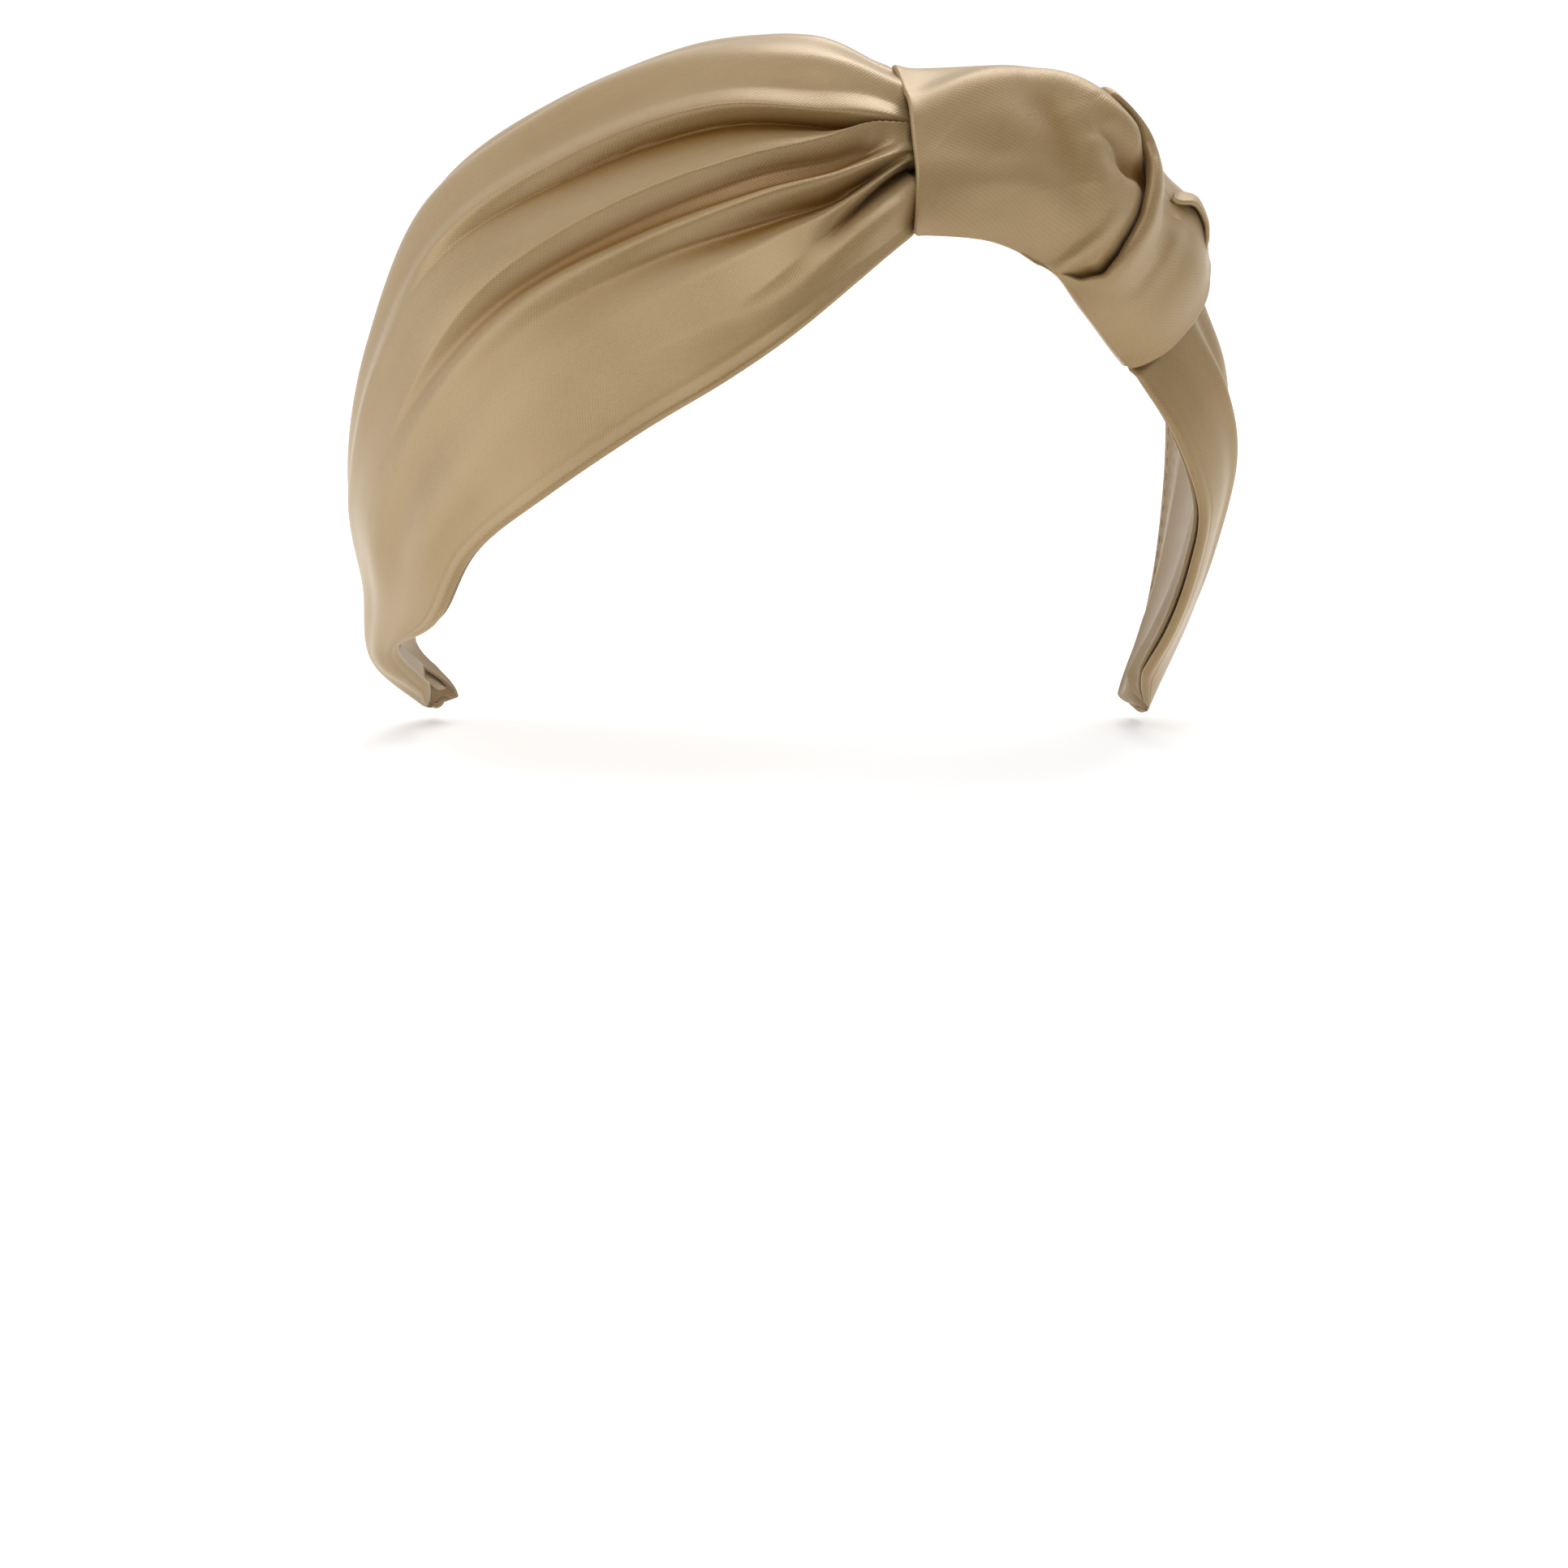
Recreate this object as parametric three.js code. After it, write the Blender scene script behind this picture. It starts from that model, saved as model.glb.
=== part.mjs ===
// Knotted satin headband: a springy moulded core carries a wide pleated wing, an off-centre knot
// and a narrow folded leg. Millimetres, +Z up, the wearer faces -Y, the knot lies towards +X.
// The origin is the point of the lining that rests on the crown of the wearer's head.

import * as THREE from 'three';

// Driving dimensions
const SATIN = 1.2;              // folded satin cover as it lies, with its seam turnings
const LINING = 0.7;             // satin facing on the head side
const FOAM = 2.0;               // wadding between core and cover
const CORE = 1.4;               // moulded strip
const CORE_WIDTH = 22;
const TOUCH = 0.3;              // gap between pieces that touch
const WRAP = 1.5;               // wall of a turn of the knot
const TUCK = WRAP + 0.5;        // how far the front wrap draws in under the collar
const UNDERSIDE = 2.9;          // depth of the front wrap below the knot's chord, head side
const LINING_INSET = 0.02;      // share of the width between a cover's edge and its lining
const SEAT_RISE = 3.32;         // brings the lining's inner face over the crown to the origin
const CORE_TIP_INSET = 0.02;    // share of the length between a cover's end and its core

// Depths of the layers below a cover's outer face
const FOAM_TOP = SATIN + TOUCH;
const CORE_TOP = FOAM_TOP + FOAM + TOUCH;
const LINING_MID = CORE_TOP + CORE + TOUCH;
const LINING_EDGE = SATIN + TOUCH;

// Cross-sections along the band from the wearer's right to left: each goes through a point on the
// front edge, one on the crest and one on the back edge.
const WING = [
  { front: [-70, 34, -125.5], crest: [-72, 43, -130], back: [-68.5, 50, -131] },
  { front: [-75, 2, -111], crest: [-81, 24, -117], back: [-76, 50, -119] },
  { front: [-65.5, -25, -100], crest: [-81.5, 13, -100], back: [-77.5, 52, -102] },
  { front: [-58, -34, -86], crest: [-83, 10, -82], back: [-80, 50, -80] },
  { front: [-44, -46.5, -73.5], crest: [-77, 7, -57.5], back: [-75, 45, -54.5] },
  { front: [-25, -53.5, -60], crest: [-62.5, -1, -33.2], back: [-64.5, 38, -25.2] },
  { front: [-10, -54, -51], crest: [-36.5, -10, -16], back: [-42.5, 30, -7.7] },
  { front: [2, -51.5, -43], crest: [-12, -17, -7], back: [-18, 20, 3] },
  { front: [14, -43.5, -34], crest: [8, -19, -6], back: [3, 12, 6.4] },
  { front: [23, -32.5, -28], crest: [22, -17, -8], back: [19, 2.5, 1.2] },
];
const KNOT = [
  { front: [25, -31.5, -27.5], crest: [24.5, -20, -6], back: [21, 2, -0.3] },
  { front: [38.5, -21, -29.5], crest: [44, -4, -1.2], back: [42, 22, -12] },
  { front: [50.5, -10, -36.5], crest: [62, 4, -7], back: [56, 33, -27] },
  { front: [58, -3, -45], crest: [77, 16, -23], back: [65, 44, -36] },
  { front: [67, 11.5, -57.5], crest: [84, 28, -40], back: [73, 55, -46] },
];
const LEG = [
  { front: [68.5, 12.5, -59.5], crest: [82, 32, -47], back: [74.5, 56, -48.5] },
  { front: [76.3, 13, -71], crest: [87.1, 34, -60], back: [78, 60, -60] },
  { front: [82, 17, -86], crest: [88.5, 38, -76], back: [79.5, 62, -78] },
  { front: [80.8, 19, -98], crest: [85.5, 40, -96], back: [78.5, 61, -98] },
  { front: [76.8, 22, -111], crest: [81, 42, -112], back: [75.5, 58, -116] },
  { front: [71, 30, -123], crest: [73.5, 40, -130], back: [70, 49, -132] },
];

// The knot's insides
const KNOT_END_INSET = 0.02;    // share of the knot's length between its mouths and its insides
const KNOT_CORE_RISE_START = 1.7;
const KNOT_CORE_RISE_END = 9.0;
const FILLING_RIM = 0.4;
const FILLING_DRAW_IN = TUCK + WRAP + 4 * TOUCH;

// Where the turns of the knot begin and end along it, as shares of its length
const FRONT_WRAP_END = 0.74;
const TUCK_START = 0.4;
const TUCK_FULL = 0.5;
const TAIL_FROM = 0.72;
const TAIL_TO = 0.94;

function curveThrough(stations, key) {
  const points = stations.map((station) => new THREE.Vector3(...station[key]));
  return new THREE.CatmullRomCurve3(points, false, 'catmullrom', 0.5);
}

function smooth(x) {
  return THREE.MathUtils.smoothstep(x, 0, 1);
}

// A cover's outer face: u runs along the band, v across it from the front edge to the back edge.
class Cover {
  constructor(stations) {
    this.front = curveThrough(stations, 'front');
    this.crest = curveThrough(stations, 'crest');
    this.back = curveThrough(stations, 'back');
  }

  point(u, v) {
    const point = this.front.getPoint(u).multiplyScalar((1 - v) * (1 - 2 * v));
    point.addScaledVector(this.crest.getPoint(u), 4 * v * (1 - v));
    point.addScaledVector(this.back.getPoint(u), v * (2 * v - 1));
    return point;
  }

  outward(u, v) {
    const step = 0.004;
    const along = this.point(Math.min(u + step, 1), v).sub(this.point(Math.max(u - step, 0), v));
    const across = this.point(u, v + step).sub(this.point(u, v - step));
    return along.cross(across).normalize();
  }

  below(u, v, depth) {
    return this.point(u, v).addScaledVector(this.outward(u, v), -depth);
  }

  halfWidth(u) {
    const crest = this.crest.getPoint(u);
    return (this.front.getPoint(u).distanceTo(crest) + this.back.getPoint(u).distanceTo(crest)) / 2;
  }

  coreHalfWidth(u) {
    return Math.min(CORE_WIDTH / 2, 0.6 * this.halfWidth(u));
  }

  foamHalfWidth(u) {
    const core = this.coreHalfWidth(u);
    return core + 0.3 * (this.halfWidth(u) - core);
  }

  // The lining lies close under the cover at the edges and passes under the core in the middle.
  liningDepth(u, v) {
    const half = this.halfWidth(u);
    const core = this.coreHalfWidth(u);
    const fromEdge = half * (1 - Math.abs(2 * v - 1));
    const rise = fromEdge / (0.7 * (half - core));
    return LINING_EDGE + (LINING_MID - LINING_EDGE) * smooth(rise);
  }
}

// Joins a grid of points into triangles. Columns always close on themselves; rows close when asked.
function gridGeometry(rows, rowsClose, capTriangles) {
  const columns = rows[0].length;
  const positions = rows.flat().flatMap((point) => [point.x, point.y, point.z]);
  const index = [...capTriangles];
  const spans = rowsClose ? rows.length : rows.length - 1;
  for (let row = 0; row < spans; row += 1) {
    const here = row * columns;
    const next = ((row + 1) % rows.length) * columns;
    for (let column = 0; column < columns; column += 1) {
      const beside = (column + 1) % columns;
      index.push(here + column, next + column, next + beside);
      index.push(here + column, next + beside, here + beside);
    }
  }
  const geometry = new THREE.BufferGeometry();
  geometry.setAttribute('position', new THREE.Float32BufferAttribute(positions, 3));
  geometry.setIndex(index);
  geometry.computeVertexNormals();
  return geometry;
}

// A solid between an upper and a lower face, each given as a point for every u and v.
function slab({ from, to, lengthSteps, widthSteps, upper, lower }) {
  const rows = [];
  for (let i = 0; i <= lengthSteps; i += 1) {
    const u = THREE.MathUtils.lerp(from, to, i / lengthSteps);
    const row = [];
    for (let j = 0; j <= widthSteps; j += 1) {
      row.push(upper(u, j / widthSteps));
    }
    for (let j = widthSteps; j >= 0; j -= 1) {
      row.push(lower(u, j / widthSteps));
    }
    rows.push(row);
  }
  const columns = rows[0].length;
  const last = lengthSteps * columns;
  const caps = [];
  for (let j = 0; j < widthSteps; j += 1) {
    const under = columns - 1 - j;
    caps.push(j, j + 1, under - 1, j, under - 1, under);
    caps.push(last + j, last + under - 1, last + j + 1, last + j, last + under, last + under - 1);
  }
  return gridGeometry(rows, false, caps);
}

function coverSolid(cover, lengthSteps, widthSteps) {
  return slab({
    from: 0,
    to: 1,
    lengthSteps,
    widthSteps,
    upper: (u, v) => cover.point(u, v),
    lower: (u, v) => cover.below(u, v, SATIN),
  });
}

function liningSolid(cover, lengthSteps, widthSteps) {
  const inset = (v) => THREE.MathUtils.lerp(LINING_INSET, 1 - LINING_INSET, v);
  return slab({
    from: 0,
    to: 1,
    lengthSteps,
    widthSteps,
    upper: (u, v) => cover.below(u, inset(v), cover.liningDepth(u, inset(v))),
    lower: (u, v) => cover.below(u, inset(v), cover.liningDepth(u, inset(v)) + LINING),
  });
}

// A strip of given half width laid along the crest at a given depth below the cover's face
function stripSolid(cover, lengthSteps, widthSteps, halfWidthAt, top, thickness) {
  const place = (u, v) => 0.5 + ((v - 0.5) * halfWidthAt(u)) / cover.halfWidth(u);
  return slab({
    from: CORE_TIP_INSET,
    to: 1 - CORE_TIP_INSET,
    lengthSteps,
    widthSteps,
    upper: (u, v) => cover.below(u, place(u, v), top),
    lower: (u, v) => cover.below(u, place(u, v), top + thickness),
  });
}

const KNOT_CURVES = {
  front: curveThrough(KNOT, 'front'),
  crest: curveThrough(KNOT, 'crest'),
  back: curveThrough(KNOT, 'back'),
};

// The knot's local axes at a share t of its length
function knotFrame(t) {
  const front = KNOT_CURVES.front.getPoint(t);
  const crest = KNOT_CURVES.crest.getPoint(t);
  const back = KNOT_CURVES.back.getPoint(t);
  const centre = front.clone().add(back).multiplyScalar(0.5);
  const across = back.clone().sub(front);
  const halfWidth = across.length() / 2;
  across.normalize();
  const rise = crest.clone().sub(centre);
  const lean = rise.dot(across);
  const out = rise.clone().addScaledVector(across, -lean);
  const height = out.length();
  out.normalize();
  return { centre, across, out, halfWidth, height, lean };
}

function knotPlace(t, sideways, outwards) {
  const { centre, across, out } = knotFrame(t);
  return centre.clone().addScaledVector(across, sideways).addScaledVector(out, outwards);
}

// A point on a turn of the knot: angle 0 is the front edge, a quarter turn the crest.
function wrapPoint(t, angle, grow, underside) {
  const { halfWidth, height, lean } = knotFrame(t);
  const rise = Math.sin(angle);
  const sideways = -(halfWidth + grow) * Math.cos(angle) + lean * Math.max(rise, 0);
  const outwards = rise > 0 ? (height + grow) * rise : underside * rise;
  return knotPlace(t, sideways, outwards);
}

// A sleeve round the band, open at both ends
function sleeve({ startAt, endAt, growAt, underside, lengthSteps, turnSteps }) {
  const rows = [];
  const addRow = (share, inner) => {
    const row = [];
    for (let k = 0; k < turnSteps; k += 1) {
      const angle = (2 * Math.PI * k) / turnSteps;
      const t = THREE.MathUtils.lerp(startAt(angle), endAt(angle), share);
      row.push(wrapPoint(t, angle, growAt(t) - inner, underside - inner));
    }
    rows.push(row);
  };
  for (let i = 0; i <= lengthSteps; i += 1) {
    addRow(i / lengthSteps, 0);
  }
  for (let i = lengthSteps; i >= 0; i -= 1) {
    addRow(i / lengthSteps, WRAP);
  }
  return gridGeometry(rows, true, []);
}

function frontWrapGrow(t) {
  return -TUCK * smooth((t - TUCK_START) / (TUCK_FULL - TUCK_START));
}

function frontWrapSolid() {
  return sleeve({
    startAt: () => 0,
    endAt: () => FRONT_WRAP_END,
    growAt: frontWrapGrow,
    underside: UNDERSIDE,
    lengthSteps: 10,
    turnSteps: 28,
  });
}

// The collar's leading edge sweeps forward along the head and back over the crest.
function collarStart(angle) {
  return 0.6 - 0.06 * Math.cos(angle) + 0.06 * Math.sin(angle);
}

function collarSolid() {
  return sleeve({
    startAt: collarStart,
    endAt: () => 1,
    growAt: () => 0,
    underside: UNDERSIDE + TUCK,
    lengthSteps: 7,
    turnSteps: 28,
  });
}

// The end of the satin that stands up behind the collar
function tailSolid() {
  const angleAt = (v) => Math.PI * THREE.MathUtils.lerp(0.5, 0.86, v);
  return slab({
    from: TAIL_FROM,
    to: TAIL_TO,
    lengthSteps: 5,
    widthSteps: 6,
    upper: (t, v) => wrapPoint(t, angleAt(v), TOUCH + SATIN, UNDERSIDE),
    lower: (t, v) => wrapPoint(t, angleAt(v), TOUCH, UNDERSIDE),
  });
}

// The core runs on through the knot, from the wing's depth to the leg's.
function knotCoreTop(t) {
  return THREE.MathUtils.lerp(KNOT_CORE_RISE_START, KNOT_CORE_RISE_END, t);
}

function knotCoreSolid() {
  return slab({
    from: KNOT_END_INSET,
    to: 1 - KNOT_END_INSET,
    lengthSteps: 10,
    widthSteps: 2,
    upper: (t, v) => knotPlace(t, (v - 0.5) * CORE_WIDTH, knotCoreTop(t)),
    lower: (t, v) => knotPlace(t, (v - 0.5) * CORE_WIDTH, knotCoreTop(t) - CORE),
  });
}

// The gathered satin fills the wraps above the core, up to their drawn-in inside.
function fillingSolid() {
  const base = (t) => knotCoreTop(t) + TOUCH;
  const shape = (t, v) => {
    const { halfWidth, height, lean } = knotFrame(t);
    const reach = height - FILLING_DRAW_IN;
    const rimAngle = Math.asin((base(t) + FILLING_RIM) / reach);
    const angle = THREE.MathUtils.lerp(rimAngle, Math.PI - rimAngle, v);
    const rise = Math.sin(angle);
    const sideways = -(halfWidth - FILLING_DRAW_IN) * Math.cos(angle) + lean * rise;
    return { sideways, top: reach * rise };
  };
  return slab({
    from: KNOT_END_INSET,
    to: 1 - KNOT_END_INSET,
    lengthSteps: 10,
    widthSteps: 10,
    upper: (t, v) => knotPlace(t, shape(t, v).sideways, shape(t, v).top),
    lower: (t, v) => knotPlace(t, shape(t, v).sideways, base(t)),
  });
}

function satin(colour) {
  return new THREE.MeshStandardMaterial({ color: colour, roughness: 0.42, metalness: 0 });
}

const OUTER_SATIN = 0xbda27a;
const INNER_SATIN = 0xa9875c;
const FOAM_WHITE = 0xe9e4d8;
const CORE_BEIGE = 0xac9878;
const foamLook = { color: FOAM_WHITE, roughness: 0.95, metalness: 0 };
const coreLook = { color: CORE_BEIGE, roughness: 0.5, metalness: 0 };

function piece(name, geometry, material) {
  const mesh = new THREE.Mesh(geometry, material);
  mesh.name = name;
  return mesh;
}

// One side of the band: cover, wadding, core and lining
function side(prefix, stations, lengthSteps, widthSteps) {
  const cover = new Cover(stations);
  const group = new THREE.Group();
  const foamWidth = (u) => cover.foamHalfWidth(u);
  const coreWidth = (u) => cover.coreHalfWidth(u);
  const foam = stripSolid(cover, lengthSteps, 6, foamWidth, FOAM_TOP, FOAM);
  const core = stripSolid(cover, lengthSteps, 4, coreWidth, CORE_TOP, CORE);
  group.add(piece(`${prefix}_cover`, coverSolid(cover, lengthSteps, widthSteps), satin(OUTER_SATIN)));
  group.add(piece(`${prefix}_wadding`, foam, new THREE.MeshStandardMaterial(foamLook)));
  group.add(piece(`${prefix}_core`, core, new THREE.MeshStandardMaterial(coreLook)));
  group.add(piece(`${prefix}_lining`, liningSolid(cover, lengthSteps, widthSteps), satin(INNER_SATIN)));
  return group;
}

function knot() {
  const group = new THREE.Group();
  group.add(piece('knot_front_wrap', frontWrapSolid(), satin(OUTER_SATIN)));
  group.add(piece('knot_collar_wrap', collarSolid(), satin(OUTER_SATIN)));
  group.add(piece('knot_tail_fold', tailSolid(), satin(OUTER_SATIN)));
  group.add(piece('knot_filling', fillingSolid(), satin(INNER_SATIN)));
  group.add(piece('knot_core', knotCoreSolid(), new THREE.MeshStandardMaterial(coreLook)));
  return group;
}

const headband = new THREE.Group();
headband.add(side('wing', WING, 34, 14));
headband.add(knot());
headband.add(side('leg', LEG, 24, 12));
headband.position.z = SEAT_RISE;

export default headband;
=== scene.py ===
"""Knotted satin headband: its cloth, wadding, stitches, materials, floor, light and camera.

Shapes are worked out in millimetres in the CAD's frame and turned into metres when a mesh is made.
"""

import math

import bpy
import numpy as np
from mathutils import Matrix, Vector


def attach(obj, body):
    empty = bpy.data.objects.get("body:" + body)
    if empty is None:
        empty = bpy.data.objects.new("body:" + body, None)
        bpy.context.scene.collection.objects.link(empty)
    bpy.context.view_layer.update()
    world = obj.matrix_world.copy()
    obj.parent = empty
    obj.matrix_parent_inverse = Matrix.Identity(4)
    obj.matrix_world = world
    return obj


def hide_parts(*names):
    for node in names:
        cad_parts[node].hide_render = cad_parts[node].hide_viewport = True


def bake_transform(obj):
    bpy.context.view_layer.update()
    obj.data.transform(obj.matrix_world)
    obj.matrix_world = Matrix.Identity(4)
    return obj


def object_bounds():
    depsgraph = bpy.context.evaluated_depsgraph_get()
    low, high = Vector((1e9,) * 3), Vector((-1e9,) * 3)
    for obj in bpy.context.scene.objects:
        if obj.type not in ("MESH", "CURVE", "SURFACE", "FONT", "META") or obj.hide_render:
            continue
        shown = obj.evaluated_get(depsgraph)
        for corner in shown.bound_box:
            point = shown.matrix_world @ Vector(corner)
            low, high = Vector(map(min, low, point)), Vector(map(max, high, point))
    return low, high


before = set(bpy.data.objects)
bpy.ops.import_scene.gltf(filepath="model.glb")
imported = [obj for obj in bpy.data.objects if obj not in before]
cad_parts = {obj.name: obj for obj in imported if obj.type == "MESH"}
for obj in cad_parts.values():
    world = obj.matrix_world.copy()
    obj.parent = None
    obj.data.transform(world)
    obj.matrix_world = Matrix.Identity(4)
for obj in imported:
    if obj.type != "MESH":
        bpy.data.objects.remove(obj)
CAD_BOX = [list(corner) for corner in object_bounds()]

MM = 0.001

# ------------------------------------------------------------
# The band's sections, as the CAD has them: points on the front edge, on the
# crest and on the back edge, from the wearer's right to the wearer's left.
# ------------------------------------------------------------
SEAT_RISE = 3.32
WING = [
    [(-70, 34, -125.5), (-72, 43, -130), (-68.5, 50, -131)],
    [(-75, 2, -111), (-81, 24, -117), (-76, 50, -119)],
    [(-65.5, -25, -100), (-81.5, 13, -100), (-77.5, 52, -102)],
    [(-58, -34, -86), (-83, 10, -82), (-80, 50, -80)],
    [(-44, -46.5, -73.5), (-77, 7, -57.5), (-75, 45, -54.5)],
    [(-25, -53.5, -60), (-62.5, -1, -33.2), (-64.5, 38, -25.2)],
    [(-10, -54, -51), (-36.5, -10, -16), (-42.5, 30, -7.7)],
    [(2, -51.5, -43), (-12, -17, -7), (-18, 20, 3)],
    [(14, -43.5, -34), (8, -19, -6), (3, 12, 6.4)],
    [(23, -32.5, -28), (22, -17, -8), (19, 2.5, 1.2)],
]
KNOT = [
    [(25, -31.5, -27.5), (24.5, -20, -6), (21, 2, -0.3)],
    [(38.5, -21, -29.5), (44, -4, -1.2), (42, 22, -12)],
    [(50.5, -10, -36.5), (62, 4, -7), (56, 33, -27)],
    [(58, -3, -45), (77, 16, -23), (65, 44, -36)],
    [(67, 11.5, -57.5), (84, 28, -40), (73, 55, -46)],
]
LEG = [
    [(68.5, 12.5, -59.5), (82, 32, -47), (74.5, 56, -48.5)],
    [(76.3, 13, -71), (87.1, 34, -60), (78, 60, -60)],
    [(82, 17, -86), (88.5, 38, -76), (79.5, 62, -78)],
    [(80.8, 19, -98), (85.5, 40, -96), (78.5, 61, -98)],
    [(76.8, 22, -111), (81, 42, -112), (75.5, 58, -116)],
    [(71, 30, -123), (73.5, 40, -130), (70, 49, -132)],
]
WING, KNOT, LEG = (
    np.array(sections, float) + (0, 0, SEAT_RISE) for sections in (WING, KNOT, LEG)
)

# Cloth, in millimetres
SATIN_THICK = 0.35
LINING_THICK = 0.3
WEAVE_PITCH = 0.86
STITCH_PITCH = 3.2
STITCH_LENGTH = 1.7
STITCH_RADIUS = 0.15
STITCH_SIDES = 8
STITCH_BANDS = 5

# Lengths of the three stretches of the band, and the knot's mean radius
WING_LENGTH = 212.0
LEG_LENGTH = 92.0
KNOT_LENGTH = 66.0
KNOT_RADIUS = 24.0

# The wing's and the leg's edges and tips
WING_EDGE_RADIUS = 0.85
LEG_EDGE_RADIUS = 0.95
WING_LINING_INSET = 0.7
LEG_LINING_INSET = 0.5
LINING_ROLL = 0.55
LINING_LIP = 0.35
HEM = 6.0
TIP_ROUND = 4.5
TIP_CLOSE = 1.8
NARROWING_IN_KNOT = 0.35
WING_SINK_IN_KNOT = 4.5
LEG_SINK_IN_KNOT = 2.5
LINING_COLUMNS = 130
WADDING_COLUMNS = 41
STITCH_COLUMNS = (10, -11)

# The layers under the cover: depths below its smooth face, and the core's half width
CORE_TOP = 3.8
CORE_HALF_WIDTH = 11.0
CORE_SHARE = 0.3
LINING_DEPTH = 5.6
ROOM_NEAR_TIP = 0.3
ROOM_AT_TIP = 0.2
WADDING_TOUCH = 0.15
WADDING_GAP = 0.25
THINNEST_WADDING = 0.4

# Folds
DEEPEST_FOLD = 2.6
SIDE_FOLD_ROOM = 1.6
FOLD_EASING = 0.7
# How the painted fold shade is measured: columns averaged beside each point, and how far below them or
# below the plain face a point must sink to be shaded fully
HOLLOW_REACH = 9
HOLLOW_BELOW_NEIGHBOURS = 2.6
HOLLOW_START = -0.4
HOLLOW_FULL = 4.5


# ------------------------------------------------------------
# Curves and surfaces
# ------------------------------------------------------------
def through(points, shares):
    """Points at shares of a Catmull-Rom curve, run on straight past its ends."""
    spans = len(points) - 1
    inside = np.clip(shares, 0, 1)
    place = inside * spans
    i = np.minimum(place.astype(int), spans - 1)
    f = (place - i)[:, None]
    ends = [2 * points[0] - points[1]], [2 * points[-1] - points[-2]]
    run = np.vstack([ends[0], points, ends[1]])
    p0, p1, p2, p3 = (run[i + k] for k in range(4))
    cubic = 3 * p1 - p0 - 3 * p2 + p3
    curve = p1 + 0.5 * f * (p2 - p0 + f * (2 * p0 - 5 * p1 + 4 * p2 - p3 + f * cubic))
    beyond = ((shares - inside) * spans)[:, None]
    slope = np.where(beyond < 0, 0.5 * (p2 - p0), 0.5 * (p3 - p1))
    return curve + beyond * slope


def unit(vectors):
    length = np.linalg.norm(vectors, axis=-1, keepdims=True)
    return vectors / np.maximum(length, 1e-9)


def across_steps(grid, closed):
    if closed:
        return np.roll(grid, -1, axis=1) - np.roll(grid, 1, axis=1)
    return np.gradient(grid, axis=1)


def normals(grid, closed=False):
    return unit(np.cross(np.gradient(grid, axis=0), across_steps(grid, closed)))


def bump(x):
    """A smooth hump, 1 at 0 and almost 0 from 2 on."""
    return np.exp(-(x**2))


def ease(x):
    """A smooth step from 0 to 1."""
    x = np.clip(x, 0, 1)
    return x * x * (3 - 2 * x)


def smooth_line(shares, stops, values):
    """A smooth curve through value points, held level past its ends."""
    order = np.argsort(stops)
    stops, values = np.array(stops, float)[order], np.array(values, float)[order]
    slopes = np.gradient(values, stops)
    x = np.clip(shares, stops[0], stops[-1])
    i = np.clip(np.searchsorted(stops, x) - 1, 0, len(stops) - 2)
    width = stops[i + 1] - stops[i]
    t = (x - stops[i]) / width
    a, b = values[i], values[i + 1]
    return (
        (1 + 2 * t) * (1 - t) ** 2 * a
        + t * (1 - t) ** 2 * width * slopes[i]
        + t * t * (3 - 2 * t) * b
        + t * t * (t - 1) * width * slopes[i + 1]
    )


def ripple(x, y, seed, waves=9):
    """Smooth unevenness of about -1 to 1, the same on every run."""
    draw = np.random.RandomState(seed)
    total = np.zeros(np.broadcast(x, y).shape)
    for _ in range(waves):
        turn, phase = draw.uniform(0, 2 * math.pi, 2)
        pitch = draw.uniform(0.6, 1.7)
        total += np.sin(2 * math.pi * pitch * (x * math.cos(turn) + y * math.sin(turn)) + phase)
    return total / math.sqrt(waves)


# ------------------------------------------------------------
# Meshes from grids
# ------------------------------------------------------------
def arc_lengths(grid, axis):
    steps = np.linalg.norm(np.diff(grid, axis=axis), axis=-1)
    zero = np.zeros_like(np.take(steps, [0], axis=axis))
    return np.concatenate([zero, np.cumsum(steps, axis=axis)], axis=axis)


def cloth_uv(grid, closed=False):
    """Millimetres along and across the cloth, counted from its middle."""
    if closed:
        grid = np.concatenate([grid, grid[:, :1]], axis=1)
    middle = grid.shape[1] // 2
    across = arc_lengths(grid, 1)
    across = across - across[:, middle : middle + 1]
    along = arc_lengths(grid[:, middle : middle + 1], 0)
    return np.stack([np.broadcast_to(along, across.shape), across], axis=-1)


def grid_faces(rows, columns, closed):
    across = columns if closed else columns - 1
    i, j = np.meshgrid(np.arange(rows - 1), np.arange(across), indexing="ij")
    a = i * columns + j
    b = a + columns
    beside = np.where(j + 1 < columns, a + 1, a + 1 - columns)
    return np.stack([a, b, beside + columns, beside], axis=-1).reshape(-1, 4)


def mesh_object(name, points, faces, material, loop_uv=None):
    """A smooth mesh from points in millimetres and faces of three or four corners."""
    mesh = bpy.data.meshes.new(name)
    sizes = np.array([len(face) for face in faces])
    corners = np.concatenate([np.asarray(face) for face in faces])
    mesh.vertices.add(len(points))
    mesh.vertices.foreach_set("co", (points * MM).astype(np.float32).ravel())
    mesh.loops.add(len(corners))
    mesh.loops.foreach_set("vertex_index", corners.astype(np.int32))
    mesh.polygons.add(len(sizes))
    mesh.polygons.foreach_set("loop_start", (np.cumsum(sizes) - sizes).astype(np.int32))
    mesh.update(calc_edges=True)
    if loop_uv is not None:
        layer = mesh.uv_layers.new(name="cloth")
        layer.data.foreach_set("uv", np.asarray(loop_uv, np.float32).ravel())
    mesh.validate()
    mesh.shade_smooth()
    mesh.materials.append(material)
    piece = bpy.data.objects.new(name, mesh)
    bpy.context.scene.collection.objects.link(piece)
    return piece


def rim_faces(start, end, count):
    """The faces between the outer and the inner face along one edge."""
    return np.stack([start, end, end + count, start + count], axis=1)


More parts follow.
